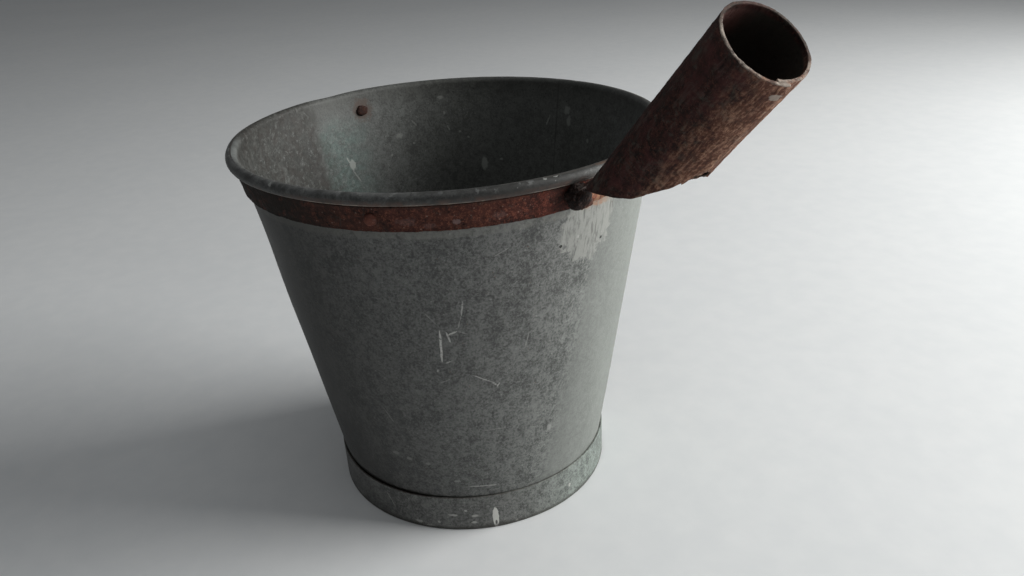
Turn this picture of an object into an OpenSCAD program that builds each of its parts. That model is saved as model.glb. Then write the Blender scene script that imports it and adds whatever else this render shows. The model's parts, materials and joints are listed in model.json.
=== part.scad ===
// Galvanised scoop bucket: a tapered sheet pail with a wired rim, a flat iron band riveted
// under the rim, and a slanting tube socket on the band that takes a wooden pole.
// Millimetres. The pail's axis is Z, its foot stands on z = 0, and the socket points to +X.

/* [Pail] */
// Outer diameter over the rolled rim
rim_d = 300; // [280:5:330]
// Height from the ground to the top of the rim
height = 270; // [250:5:290]
// Thickness of the zinc-coated sheet
sheet_t = 1; // [0.8:0.1:1.2]
// Thickness of the rolled rim bead
bead_d = 7.6; // [6.6:0.2:9]
// Outer radius of the wall where it goes into the foot hoop
wall_foot_r = 103; // [98:1:106]
// Height of the inside of the floor above the ground
floor_z = 18; // [15:1:22]

/* [Foot hoop] */
// Height of the hoop that the pail stands on
hoop_h = 28; // [24:1:34]
// Thickness of the hoop strip
hoop_t = 1.2; // [1:0.1:1.6]
// Direction of the hoop's overlapped joint
hoop_lap_at = 150; // [120:5:170]

/* [Side seam] */
// Width of the folded seam up the wall
seam_w = 8; // [6:1:10]
// How far the seam stands out of the wall
seam_t = 1.2; // [0.8:0.1:1.6]
// Direction of the seam
seam_at = 110; // [90:5:130]

/* [Band] */
// Height of the flat iron band
band_h = 16; // [12:1:18]
// Thickness of the band
band_t = 2.5; // [2:0.1:3]
// Gap between the top of the band and the bottom of the rim bead
band_gap = 0.4; // [0.4:0.1:2]
// Length of the band's overlapped ends, opposite the socket
band_lap = 34; // [28:2:44]

/* [Rivets] */
// Diameter of the rivet shanks
rivet_d = 5; // [4:0.5:6]
// Diameter of the rivet heads
rivet_head_d = 8; // [7:0.5:10]
// Height of the rivet heads
rivet_head_h = 2.2; // [1.8:0.2:3]
// Direction of the two side rivets from the socket
rivet_at = 49; // [40:1:60]

/* [Socket] */
// Outside diameter of the socket tube
socket_d = 43.6; // [42:0.2:46]
// Thickness of the socket's sheet
socket_t = 1.5; // [1.2:0.1:2]
// Angle of the socket above the ground plane
socket_rise = 47.6; // [45:0.2:52]
// Distance of the socket's axis from the pail's axis, level with the band's top
socket_out = 185; // [184:0.5:187]
// Length of the socket from that level to its mouth
socket_len = 123; // [100:1:150]
// Distance from the pail's axis at which the slanting lower end gets steeper
cut_x = 208; // [206:0.5:210]
// Height of the lower end there
cut_z = 273; // [272:0.2:274]
// Rise of the lower end on the pail's side of that place
cut_rise_in = 8.4; // [7:0.2:10]
// Rise of the lower end on the mouth's side of it
cut_rise_out = 23.4; // [21:0.2:26]
// Width of the tongue hammered onto the band
tongue_w = 12; // [10:1:16]

/* [Weld] */
// Radius of the weld lump on the band
weld_r = 6.5; // [5.5:0.5:7]
// How far the weld lump stands out of the band
weld_h = 3.5; // [2.5:0.25:3.75]

/* [Hidden] */
$fn = 96;

zinc = "#6d716f";
zinc_dark = "#5a5e5c";
rust = "#6b3b2c";
rust_dark = "#4a3433";

// Rolled rim: centre line of the wire inside the bead
wire_r = rim_d/2 - bead_d/2;
wire_z = height - bead_d/2;
// Outer radius of the wall where it becomes the bead, and the wall's taper
wall_rim_r = rim_d/2 - bead_d + sheet_t;
taper = (wall_rim_r - wall_foot_r)/(wire_z - hoop_h);
wall_lean = atan(taper);
// The bead's edge stops short of the wall by this angle
bead_open_angle = 55;

// Bottom seam: the wall ends in a small flange, which the floor's edge is folded round
seam_flange_z = 8;
hoop_in_r = wall_foot_r + 0.2;
flange_r = hoop_in_r - sheet_t;
fold_lip_r = flange_r - 1.6;

// Band: top and bottom edges
band_top = height - bead_d - band_gap;
band_bottom = band_top - band_h;
band_mid = (band_top + band_bottom)/2;
band_lap_angle = band_lap/(2*wall_r(band_mid))*180/PI;

// Rivets stand square to the wall; this much air keeps flat heads off the curved sheet
rivet_seat = 0.12;
rivet_tail_d = 9.5;
rivet_tail_h = 2.2;

// Socket: the outer sheet edge laps over the inner one along its lowest line
socket_lap = 1.6;
tongue_t = 4;
tongue_bottom = band_bottom + 0.5;
tongue_corner = 4;
// The weld sits on the band beside the tongue, on the socket's left
weld_side = -7.5;
weld_z = band_mid;

// Outer radius of the wall at a height, and the outer face of the band
function wall_r(z) = wall_foot_r + taper*(z - hoop_h);
function band_r(z) = wall_r(z) + band_t;
// Middle of the socket's sheet at a height, on the side that faces the pail
function tube_sheet_x(z) =
    socket_out - (band_top - z)/tan(socket_rise) - (socket_d/2 - socket_t/2)/sin(socket_rise);

// A strip of the given thickness lying on the wall between two heights, as a turned section
module wall_strip(z1, z2, inset, thick) {
    polygon([
        [wall_r(z1) + inset, z1],
        [wall_r(z1) + inset + thick, z1],
        [wall_r(z2) + inset + thick, z2],
        [wall_r(z2) + inset, z2]
    ]);
}

// Turned ring of a wall strip
module wall_hoop(z1, z2, inset, thick) {
    rotate_extrude() wall_strip(z1, z2, inset, thick);
}

// Sets its children on the wall at a direction and height, with +Z along the wall's outward normal
module on_wall(direction, z) {
    rotate([0, 0, direction])
        translate([wall_r(z), 0, z])
            rotate([0, 90 + wall_lean, 0])
                children();
}

module rivet_holes() {
    for (direction = [-rivet_at, rivet_at, 180])
        on_wall(direction, band_mid)
            translate([0, 0, -10])
                cylinder(d = rivet_d, h = 30);
}

// Rolled edge: the sheet turned outwards over the wire, its end tucked back towards the wall
module bead_section() {
    translate([wire_r, wire_z])
        difference() {
            circle(d = bead_d);
            circle(d = bead_d - 2*sheet_t);
            polygon([
                [0, 0],
                [-bead_d, 0],
                [-bead_d, -bead_d*sin(bead_open_angle)],
                [-bead_d*cos(bead_open_angle), -bead_d*sin(bead_open_angle)]
            ]);
        }
}

module wall_section() {
    flange_top = seam_flange_z + sheet_t;
    polygon([
        [wall_r(seam_flange_z) - sheet_t, seam_flange_z],
        [flange_r, seam_flange_z],
        [flange_r, flange_top],
        [wall_r(flange_top), flange_top],
        [wall_r(wire_z), wire_z],
        [wall_r(wire_z) - sheet_t, wire_z]
    ]);
}

// Folded side seam, dressed flat under the band and inside the hoop
module side_seam() {
    seam_bottom = hoop_h + 2;
    seam_length = (band_bottom - 2 - seam_bottom)/cos(wall_lean);
    bury = 0.6;
    rotate([0, 0, seam_at])
        translate([wall_r(seam_bottom), 0, seam_bottom])
            rotate([0, wall_lean, 0])
                translate([-bury, -seam_w/2, 0])
                    cube([seam_t + bury, seam_w, seam_length]);
}

module bucket_wall() {
    color(zinc)
        difference() {
            union() {
                rotate_extrude() {
                    wall_section();
                    bead_section();
                }
                side_seam();
            }
            rivet_holes();
        }
}

module rim_wire() {
    color(zinc_dark)
        rotate_extrude()
            translate([wire_r, wire_z])
                circle(d = bead_d - 2*sheet_t);
}

// Floor pan: its skirt runs down inside the wall and is folded round the wall's flange
module bucket_floor() {
    under_z = seam_flange_z - sheet_t;
    flange_top = seam_flange_z + sheet_t;
    fold_top = flange_top + sheet_t;
    floor_under = floor_z - sheet_t;
    color(zinc_dark)
        rotate_extrude()
            polygon([
                [0, floor_under],
                [wall_r(floor_under) - 2*sheet_t, floor_under],
                [wall_r(under_z) - 2*sheet_t, under_z],
                [hoop_in_r, under_z],
                [hoop_in_r, fold_top],
                [fold_lip_r, fold_top],
                [fold_lip_r, flange_top],
                [flange_r, flange_top],
                [flange_r, seam_flange_z],
                [wall_r(seam_flange_z) - sheet_t, seam_flange_z],
                [wall_r(floor_z) - sheet_t, floor_z],
                [0, floor_z]
            ]);
}

// Foot hoop: a strip bent round the bottom seam, its outer end lapped over the inner one
module foot_hoop() {
    hoop_lap_angle = 14;
    bury = 0.3;
    // The lapped end is trimmed a little narrower than the strip below it
    trim = 0.5;
    color(zinc)
        union() {
            rotate_extrude()
                translate([hoop_in_r, 0])
                    square([hoop_t, hoop_h]);
            rotate([0, 0, hoop_lap_at])
                rotate_extrude(angle = hoop_lap_angle)
                    translate([hoop_in_r + hoop_t - bury, trim])
                        square([hoop_t + bury, hoop_h - 2*trim]);
        }
}

module rim_band() {
    bury = 0.3;
    color(rust)
        difference() {
            union() {
                wall_hoop(band_bottom, band_top, 0, band_t);
                rotate([0, 0, 180 - band_lap_angle])
                    rotate_extrude(angle = 2*band_lap_angle)
                        wall_strip(band_bottom, band_top, band_t - bury, band_t + bury);
            }
            rivet_holes();
        }
}

// Domed rivet through the wall and the band; grip is the iron between the wall and the head
module rivet(grip) {
    head_z = grip + rivet_seat;
    tail_z = -sheet_t - rivet_seat;
    dome_r = (pow(rivet_head_d/2, 2) + pow(rivet_head_h, 2))/(2*rivet_head_h);
    color(rust_dark)
        union() {
            translate([0, 0, tail_z])
                cylinder(d = rivet_d, h = head_z - tail_z);
            translate([0, 0, tail_z - rivet_tail_h])
                cylinder(d1 = rivet_tail_d*0.7, d2 = rivet_tail_d, h = rivet_tail_h);
            intersection() {
                translate([0, 0, head_z + rivet_head_h - dome_r])
                    sphere(r = dome_r);
                translate([0, 0, head_z])
                    cylinder(r = rivet_head_d, h = rivet_head_h + 1);
            }
        }
}

module rivet_left() {
    on_wall(-rivet_at, band_mid) rivet(band_t);
}

module rivet_right() {
    on_wall(rivet_at, band_mid) rivet(band_t);
}

module rivet_back() {
    on_wall(180, band_mid) rivet(2*band_t);
}

// Moves its children from the socket's own axis, mouth at +Z, to their place on the pail
module on_socket_axis() {
    translate([socket_out, 0, band_top])
        rotate([0, 90 - socket_rise, 0])
            children();
}

// Rolled tube section: a circle that swells to the outer sheet edge along the lowest line (+X)
module socket_section() {
    circle(d = socket_d);
    intersection() {
        translate([socket_lap/2, 0])
            circle(d = socket_d + socket_lap);
        translate([-socket_d, -2*socket_d])
            square([2*socket_d, 2*socket_d]);
    }
}

// Everything below the socket's slanting lower end, which rises in two slopes
module below_cut() {
    depth = 120;
    span = 300;
    for (rise = [cut_rise_in, cut_rise_out])
        translate([cut_x, 0, cut_z])
            rotate([0, -rise, 0])
                translate([-span/2, -span/2, -depth])
                    cube([span, span, depth]);
}

module socket_tube() {
    tail = 60;
    difference() {
        on_socket_axis()
            translate([0, 0, -tail])
                linear_extrude(height = socket_len + tail)
                    socket_section();
        on_socket_axis()
            translate([0, 0, -tail - 1])
                cylinder(d = socket_d - 2*socket_t, h = socket_len + tail + 2);
        below_cut();
    }
}

// Tongue at the socket's tip, hammered onto the band, with its lower corners rounded
module socket_tongue() {
    root = wall_r(band_bottom);
    bend_z = band_mid;
    top_z = band_top - 1.2;
    // The tongue's upper end stays inside the tube's own sheet, this far from its middle
    join_z = band_top + 7;
    join_half = 0.5;
    join_dx = join_half*sin(socket_rise);
    join_dz = join_half*cos(socket_rise);
    top_out = 5.5;
    intersection() {
        rotate([90, 0, 0])
            translate([0, 0, -tongue_w/2])
                linear_extrude(height = tongue_w)
                    polygon([
                        [root, tongue_bottom],
                        [band_r(tongue_bottom) + tongue_t, tongue_bottom],
                        [band_r(bend_z) + tongue_t, bend_z],
                        [tube_sheet_x(join_z) + join_dx, join_z - join_dz],
                        [tube_sheet_x(join_z) - join_dx, join_z + join_dz],
                        [band_r(top_z) + top_out, top_z],
                        [root, top_z]
                    ]);
        translate([root, 0, 0])
            rotate([90, 0, 90])
                linear_extrude(height = 3*band_h)
                    union() {
                        translate([-tongue_w/2, tongue_bottom + tongue_corner])
                            square([tongue_w, 2*band_h]);
                        for (side = [-1, 1])
                            translate([side*(tongue_w/2 - tongue_corner), tongue_bottom + tongue_corner])
                                circle(r = tongue_corner);
                        translate([-tongue_w/2 + tongue_corner, tongue_bottom])
                            square([tongue_w - 2*tongue_corner, 2*band_h]);
                    }
    }
}

// The band's outer face as a solid cone, fine enough for the thin parts that sit on it
module band_core() {
    reach = 6;
    rotate_extrude($fn = 480)
        polygon([
            [0, band_bottom - reach],
            [band_r(band_bottom - reach), band_bottom - reach],
            [band_r(band_top + reach), band_top + reach],
            [0, band_top + reach]
        ]);
}

module socket_body() {
    difference() {
        union() {
            socket_tube();
            socket_tongue();
        }
        band_core();
    }
}

module handle_socket() {
    color(rust_dark) socket_body();
}

// Lump of weld on the band, run up against the left side of the tongue
module socket_weld() {
    lump_r = (pow(weld_r, 2) + pow(weld_h, 2))/(2*weld_h);
    weld_direction = weld_side/band_r(weld_z)*180/PI;
    color(rust_dark)
        difference() {
            on_wall(weld_direction, weld_z)
                translate([0, 0, band_t + weld_h - lump_r])
                    sphere(r = lump_r);
            band_core();
            translate([rim_d/4, -tongue_w/2, band_bottom - band_h])
                cube([rim_d/2, tongue_w, 3*band_h]);
        }
}

bucket_wall();
rim_wire();
bucket_floor();
foot_hoop();
rim_band();
rivet_left();
rivet_right();
rivet_back();
handle_socket();
socket_weld();
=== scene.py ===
import bpy
import json
from math import atan2, cos, exp, hypot, pi, radians, sin
from mathutils import Matrix, Vector, noise


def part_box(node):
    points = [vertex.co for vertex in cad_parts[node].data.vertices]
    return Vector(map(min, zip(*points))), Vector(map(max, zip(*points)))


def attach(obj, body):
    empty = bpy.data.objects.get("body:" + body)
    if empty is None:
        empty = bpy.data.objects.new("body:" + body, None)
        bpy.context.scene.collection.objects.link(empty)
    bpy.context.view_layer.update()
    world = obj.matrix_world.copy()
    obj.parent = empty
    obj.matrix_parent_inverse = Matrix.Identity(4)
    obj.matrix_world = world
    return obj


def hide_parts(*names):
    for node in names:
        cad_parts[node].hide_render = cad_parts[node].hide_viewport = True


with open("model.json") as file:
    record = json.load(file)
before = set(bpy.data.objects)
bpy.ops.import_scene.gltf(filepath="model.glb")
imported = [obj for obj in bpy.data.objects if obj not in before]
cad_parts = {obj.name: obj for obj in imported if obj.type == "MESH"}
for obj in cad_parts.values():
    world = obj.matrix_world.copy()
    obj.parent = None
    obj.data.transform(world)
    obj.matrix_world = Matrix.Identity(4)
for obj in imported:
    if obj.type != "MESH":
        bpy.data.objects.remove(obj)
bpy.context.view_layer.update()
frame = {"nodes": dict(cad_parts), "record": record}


# Pail wall: one millimetre of galvanised sheet rolled to a cone, folded shut down its side
# and curled outwards at the top round a wire. Years of knocks have left it slightly out of
# round, dull, scratched and stained, with two low places in the rim.
wall_low, wall_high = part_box("bucket_wall")
sheet = 0.001
round_sides = 288
curl_r = 0.0038
curl_sweep = 305
rim_r = wall_high.x - curl_r
rim_z = wall_high.z - curl_r
foot_z = wall_low.z + 0.0005
hoop_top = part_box("foot_hoop")[1].z
band_low, band_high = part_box("rim_band")
foot_r = 0.103
taper = 0.1696
seam_turn = 110
seam_half = 2.2
seam_rise = 0.0012


def wall_r(z):
    """Radius of the wall's outside at a height."""
    return foot_r + taper*(z - hoop_top)


def edit(piece):
    """Selects one piece alone and opens it for editing."""
    if bpy.context.object and bpy.context.object.mode == "EDIT":
        bpy.ops.object.mode_set(mode="OBJECT")
    bpy.ops.object.select_all(action="DESELECT")
    piece.select_set(True)
    bpy.context.view_layer.objects.active = piece
    bpy.ops.object.mode_set(mode="EDIT")


def ring_up(name, sides, stations):
    """A piece drawn up from one round ring through (radius, height) stations."""
    bpy.ops.object.select_all(action="DESELECT")
    last_r, last_z = stations[0]
    bpy.ops.mesh.primitive_circle_add(vertices=sides, radius=last_r, location=(0, 0, last_z))
    piece = bpy.context.object
    piece.name = name
    bpy.ops.object.transform_apply(location=True, rotation=True, scale=True)
    edit(piece)
    bpy.ops.mesh.select_all(action="SELECT")
    for r, z in stations[1:]:
        bpy.ops.mesh.extrude_edges_move(TRANSFORM_OT_translate={"value": (0, 0, z - last_z)})
        bpy.ops.transform.resize(value=(r/last_r, r/last_r, 1), center_override=(0, 0, 0))
        last_r, last_z = r, z
    bpy.ops.mesh.select_all(action="SELECT")
    bpy.ops.object.mode_set(mode="OBJECT")
    return piece


def modify(piece, kind, **settings):
    """Adds a modifier and applies it."""
    bpy.ops.object.select_all(action="DESELECT")
    piece.select_set(True)
    bpy.context.view_layer.objects.active = piece
    step = piece.modifiers.new(kind.lower(), kind)
    for key, value in settings.items():
        setattr(step, key, value)
    bpy.ops.object.modifier_apply(modifier=step.name)


def pick_faces(piece, wanted):
    """Opens the piece with only the faces picked whose centre and normal pass the test."""
    edit(piece)
    bpy.ops.mesh.select_all(action="DESELECT")
    bpy.ops.mesh.select_mode(type="FACE")
    bpy.ops.object.mode_set(mode="OBJECT")
    for face in piece.data.polygons:
        face.select = wanted(face.center, face.normal)
    bpy.ops.object.mode_set(mode="EDIT")


def swell(height):
    """Pushes the picked faces out along their normals as a raised patch with its own walls."""
    bpy.ops.mesh.extrude_region_shrink_fatten(TRANSFORM_OT_shrink_fatten={"value": height})
    bpy.ops.object.mode_set(mode="OBJECT")


def close_up(piece, angle):
    """Turns all faces outwards and smooths the piece up to an angle."""
    edit(piece)
    bpy.ops.mesh.select_all(action="SELECT")
    bpy.ops.mesh.normals_make_consistent(inside=False)
    bpy.ops.object.mode_set(mode="OBJECT")
    bpy.ops.object.shade_smooth_by_angle(angle=radians(angle))


def turn_of(spot):
    """Compass turn of a point round the pail, in degrees from the socket's side."""
    return atan2(spot.y, spot.x)*180/pi


def gap(turn, middle):
    """Smallest difference between two turns, in degrees."""
    return abs((turn - middle + 180) % 360 - 180)


# Each dent: turn, height, depth, half width and half height
dents = [
    (-62, 0.185, 0.0011, 0.030, 0.045),
    (-14, 0.120, 0.0008, 0.026, 0.034),
    (-40, 0.075, 0.0006, 0.022, 0.018),
    (22, 0.170, 0.0009, 0.028, 0.040),
    (75, 0.110, 0.0012, 0.034, 0.040),
    (140, 0.200, 0.0010, 0.030, 0.030),
    (205, 0.130, 0.0013, 0.036, 0.044),
    (262, 0.215, 0.0008, 0.024, 0.030)]
# Each low place in the rim: turn, half width and drop
dips = [(190, 0.016, 0.0013), (60, 0.020, 0.00065)]
oval_turn = 120
oval = 0.0021


def knock(piece):
    """Moves a piece's points as years of knocks moved the pail."""
    for point in piece.data.vertices:
        spot = point.co
        reach = hypot(spot.x, spot.y)
        turn = turn_of(spot)
        rise = max(0, spot.z - hoop_top)/rim_z
        out = oval*rise**1.3*cos(radians(2*(turn - oval_turn)))
        out += 0.0005*min(1, rise*4)*noise.noise(spot*16)
        for middle, height, depth, wide, tall in dents:
            away = radians(gap(turn, middle))*reach/wide
            if away < 3:
                out -= depth*exp(-away*away - ((spot.z - height)/tall)**2)
        near_rim = max(0, rise - 0.8)*5
        for middle, wide, drop in dips:
            spot.z -= near_rim*drop*exp(-(radians(gap(turn, middle))*reach/wide)**2)
        spot.x *= 1 + out/reach
        spot.y *= 1 + out/reach
    piece.data.update()


wall_steps = 72
curl_steps = 25
stations = []
for step in range(wall_steps + 1):
    z = foot_z + (rim_z - foot_z)*step/wall_steps
    stations.append((wall_r(z) - sheet, z))
for step in range(1, curl_steps + 1):
    round_turn = radians(180 - curl_sweep*step/curl_steps)
    stations.append((rim_r + curl_r*cos(round_turn), rim_z + curl_r*sin(round_turn)))
wall = ring_up("pail_wall", round_sides, stations)
edit(wall)
bpy.ops.mesh.select_all(action="SELECT")
bpy.ops.mesh.normals_make_consistent(inside=False)
bpy.ops.object.mode_set(mode="OBJECT")
modify(wall, "SOLIDIFY", thickness=sheet, offset=-1)
pick_faces(wall, lambda spot, normal: gap(turn_of(spot), seam_turn) < seam_half
           and hoop_top + 0.003 < spot.z < band_low.z - 0.002
           and normal.x*spot.x + normal.y*spot.y > 0)
swell(seam_rise)
close_up(wall, 35)
knock(wall)


class Value:
    """One number or colour in a finish; sums written with it add the nodes."""

    def __init__(self, finish, socket):
        self.finish = finish
        self.socket = socket

    def maths(self, operation, *numbers):
        """One sum on this value, as a Math node."""
        return self.finish.add("ShaderNodeMath", {"operation": operation}, dict(enumerate(numbers)))

    def __add__(self, other):
        return self.maths("ADD", self, other)

    def __sub__(self, other):
        return self.maths("SUBTRACT", self, other)

    def __rsub__(self, other):
        return self.maths("SUBTRACT", other, self)

    def __mul__(self, other):
        return self.maths("MULTIPLY", self, other)

    def __truediv__(self, other):
        return self.maths("DIVIDE", self, other)

    def __abs__(self):
        return self.maths("ABSOLUTE", self)

    def __pow__(self, power):
        return self.maths("POWER", self, power)

    __radd__ = __add__
    __rmul__ = __mul__

    def most(self, other):
        """The larger of two values at each point."""
        return self.maths("MAXIMUM", self, other)

    def rise(self, low, high):
        """0 below low, 1 above high, smooth between them; falls if low is the larger."""
        falls = low > high
        ends = {1: min(low, high), 2: max(low, high), 3: float(falls), 4: float(not falls)}
        smooth = {"interpolation_type": "SMOOTHSTEP"}
        return self.finish.add("ShaderNodeMapRange", smooth, {0: self, **ends})


class Finish:
    """A surface finish in the making, on the piece's own coordinates."""

    def __init__(self, name):
        self.material = bpy.data.materials.new(name)
        self.material.use_nodes = True
        self.tree = self.material.node_tree
        self.tree.nodes.clear()
        self.spot = self.add("ShaderNodeTexCoord", {}, {}, "Object")
        apart = self.add("ShaderNodeSeparateXYZ", {}, {0: self.spot}, "X")
        self.x = apart
        self.y = Value(self, apart.socket.node.outputs["Y"])
        self.z = Value(self, apart.socket.node.outputs["Z"])

    def add(self, kind, settings, sockets, out=0):
        """One node: its settings, then the value or the link of each socket that is named."""
        node = self.tree.nodes.new(kind)
        for key, value in settings.items():
            setattr(node, key, value)
        for key, value in sockets.items():
            socket = node.inputs[key]
            if isinstance(value, Value):
                self.tree.links.new(value.socket, socket)
            elif isinstance(value, tuple) and len(value) == 3 and socket.type == "RGBA":
                socket.default_value = (*value, 1)
            else:
                socket.default_value = value
        return Value(self, node.outputs[out])

    def grain(self, scale, detail=4, rough=0.55, where=None, swirl=0):
        """Soft noise from 0 to 1; scale is in lumps per metre."""
        lumps = {"Vector": where or self.spot, "Scale": scale, "Detail": detail}
        return self.add("ShaderNodeTexNoise", {}, {**lumps, "Roughness": rough, "Distortion": swirl})

    def specks(self, scale, size, share=0.5):
        """Sparse round specks: share of the cells that hold one, and its size in cells."""
        cells = {"Vector": self.spot, "Scale": scale}
        near = self.add("ShaderNodeTexVoronoi", {}, cells, "Distance")
        tone = Value(self, near.socket.node.outputs["Color"])
        pick = self.add("ShaderNodeSeparateColor", {}, {0: tone}, 0)
        return near.rise(size, size*0.5)*pick.rise(1 - share, 1.02 - share)

    def stretched(self, across, along):
        """Coordinates squeezed up and down, for streaks that run down a wall."""
        return self.add("ShaderNodeMapping", {}, {"Vector": self.spot, "Scale": (across, across, along)})

    def mix(self, share, first, second):
        """One colour over another, by a share."""
        return self.add("ShaderNodeMix", {"data_type": "RGBA"}, {0: share, 6: first, 7: second}, 2)

    def tint(self, share, colour, factor):
        """Colour multiplied by a colour, by a share."""
        multiply = {"data_type": "RGBA", "blend_type": "MULTIPLY"}
        return self.add("ShaderNodeMix", multiply, {0: share, 6: colour, 7: factor}, 2)

    def around(self, turn):
        """Metres sideways from a turn of the round, and 1 on that turn's half of the round."""
        across = self.y*cos(radians(turn)) - self.x*sin(radians(turn))
        front = (self.x*cos(radians(turn)) + self.y*sin(radians(turn))).rise(0, 0.01)
        return across, front

    def arc(self, turn, start, full, fading, end):
        """1 along part of the round, faded at both ends, in metres sideways from a turn."""
        across, front = self.around(turn)
        return across.rise(start, full)*across.rise(end, fading)*front

    def patch(self, turn, height, wide, tall, ragged=0.5, scale=300, edge=0.3):
        """An oval patch with a ragged edge."""
        across, front = self.around(turn)
        reach = ((across/wide)**2 + ((self.z - height)/tall)**2)**0.5
        reach = reach + (self.grain(scale, 5, 0.65) - 0.5)*ragged*2
        return reach.rise(1 + edge/2, 1 - edge/2)*front

    def dab(self, marks, spots, share, scale, edge, ragged=1.0):
        """Marks with ragged spots added, each of a turn, height, half width and half height."""
        for spot in spots:
            marks = marks.most(self.patch(*spot, ragged, scale, edge)*share)
        return marks

    def stroke(self, turn1, height1, turn2, height2, width, radius, wobble=0.0006):
        """A thin scratch between two places on the round, worn thin towards its ends."""
        turn = (turn1 + turn2)/2
        run = radians(turn2 - turn1)*radius
        climb = height2 - height1
        length = hypot(run, climb)
        across, front = self.around(turn)
        up = self.z - (height1 + height2)/2
        along = across*(run/length) + up*(climb/length)
        off = across*(-climb/length) + up*(run/length) + (self.grain(90, 2) - 0.5)*wobble*2
        worn = abs(along).rise(length/2, length/4)
        thin = (worn*0.7 + 0.3)*width
        line = (abs(off)/thin).rise(1.2, 0.5)
        gritty = self.grain(900, 2).rise(0.28, 0.5)
        return line*gritty*abs(along).rise(length/2, length/2 - 0.001)*front

    def scratch(self, marks, strokes, radius, share):
        """Marks with thin scratches added, each of two turns and heights and a half width."""
        for stroke in strokes:
            marks = marks.most(self.stroke(*stroke, radius)*share)
        return marks

    def shader(self, colour, rough, metal, bump, strength, size=0.001, **fixed):
        """Finishes with one metal or rust shader, bumped in metres."""
        relief = {"Strength": strength, "Distance": size, "Height": bump}
        sockets = {"Base Color": colour, "Roughness": rough, "Metallic": metal, **fixed}
        sockets["Normal"] = self.add("ShaderNodeBump", {}, relief)
        surface = self.add("ShaderNodeBsdfPrincipled", {}, sockets)
        end = self.tree.nodes.new("ShaderNodeOutputMaterial")
        self.tree.links.new(surface.socket, end.inputs["Surface"])
        return self.material


def old_zinc(finish, dark, light):
    """Dull weathered zinc: blotches, crystal flecks, runs down the wall and fine grit."""
    blotch = finish.grain(34, 6, 0.62, swirl=0.4)
    mottle = finish.grain(190, 5, 0.75, swirl=0.5)
    grit = finish.grain(620, 4, 0.8)
    runs = finish.grain(80, 4, 0.6, finish.stretched(1, 0.07))
    tone = (blotch - 0.5)*0.55 + (mottle - 0.5)*1.5 + (grit - 0.5)*2.0 + (runs - 0.5)*0.5 + 0.5
    colour = finish.mix(tone.rise(0.08, 0.92), dark, light)
    drips = finish.grain(230, 3, 0.6, finish.stretched(1, 0.035)).rise(0.62, 0.70)
    colour = finish.tint(drips*blotch.rise(0.42, 0.58)*0.32, colour, (0.45, 0.45, 0.44))
    flecks = finish.specks(460, 0.30, share=0.30)*mottle.rise(0.40, 0.60)
    colour = finish.mix(flecks*0.42, colour, tuple(c*1.8 for c in light))
    pits = finish.specks(300, 0.22, share=0.20)
    colour = finish.mix(pits*0.55, colour, (0.022, 0.022, 0.020))
    height = mottle*0.5 + grit*0.4 + blotch*0.6 - pits*0.5
    return colour, height, tone


outside = Finish("zinc_outside")
skin, height, tone = old_zinc(outside, (0.048, 0.049, 0.047), (0.212, 0.215, 0.208))
# Painted light: the wall's side towards the window is lightened, by a paler mix from a wavy edge and by a
# faintly green brightening of that half of the round.
across, front = outside.around(45)
wave = (outside.grain(28, 4) - 0.5)*0.012
window_side_light = (across + wave).rise(-0.083, -0.074)*across.rise(0.04, -0.02)*front
skin = outside.mix(window_side_light*0.58, skin, (0.150, 0.153, 0.147))
skin = outside.tint(outside.arc(45, -0.130, -0.03, 0.02, 0.115), skin, (1.52, 1.60, 1.54))
pale_strip = (outside.z + (outside.grain(60, 3) - 0.5)*0.004).rise(0.2385, 0.2410)
skin = outside.mix(pale_strip*outside.grain(150, 4).rise(0.25, 0.6)*0.45, skin, (0.25, 0.25, 0.225))
patchy = outside.grain(52, 5, 0.65, outside.stretched(1, 0.16)).rise(0.36, 0.50)
scraped = outside.patch(5.5, 0.228, 0.0215, 0.0225, 0.8, 95, 0.15)
streaks = outside.grain(420, 3, 0.65, outside.stretched(1, 0.04)).rise(0.40, 0.50)
skin = outside.mix(scraped*(streaks*0.5 + 0.5)*patchy*0.68, skin, (0.355, 0.36, 0.335))
gouges = outside.grain(520, 2, 0.5, outside.stretched(1, 0.03)).rise(0.60, 0.66)*scraped
skin = outside.mix(gouges*0.5, skin, (0.07, 0.07, 0.065))
rust_run = (outside.z + outside.grain(110, 3)*0.006 - 0.003).rise(0.2400, 0.2418)
rust_run = rust_run*outside.arc(7, -0.012, -0.008, 0.004, 0.020)*outside.grain(240, 4, 0.7).rise(0.34, 0.56)
skin = outside.mix(rust_run*0.8, skin, (0.33, 0.19, 0.12))
wall_mid_r = 0.127
scratches = outside.stroke(-37.0, 0.1762, -37.5, 0.1500, 0.0008, wall_mid_r)
scratches = outside.scratch(scratches, [
    (-35.4, 0.1745, -34.4, 0.1655, 0.0006), (-35.0, 0.1716, -32.2, 0.1745, 0.0007)], wall_mid_r, 0.75)
scratches = outside.scratch(scratches, [
    (-30.1, 0.1965, -30.9, 0.1850, 0.0006), (-29.2, 0.1390, -23.4, 0.1308, 0.0005),
    (-23.6, 0.1312, -21.4, 0.1262, 0.0007), (-22.0, 0.1255, -20.6, 0.1300, 0.0005),
    (-36.8, 0.1495, -34.0, 0.1520, 0.0005), (-38.7, 0.1455, -39.3, 0.1425, 0.0007),
    (-33.0, 0.0385, -23.0, 0.0372, 0.0006)], wall_mid_r, 0.55)
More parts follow.
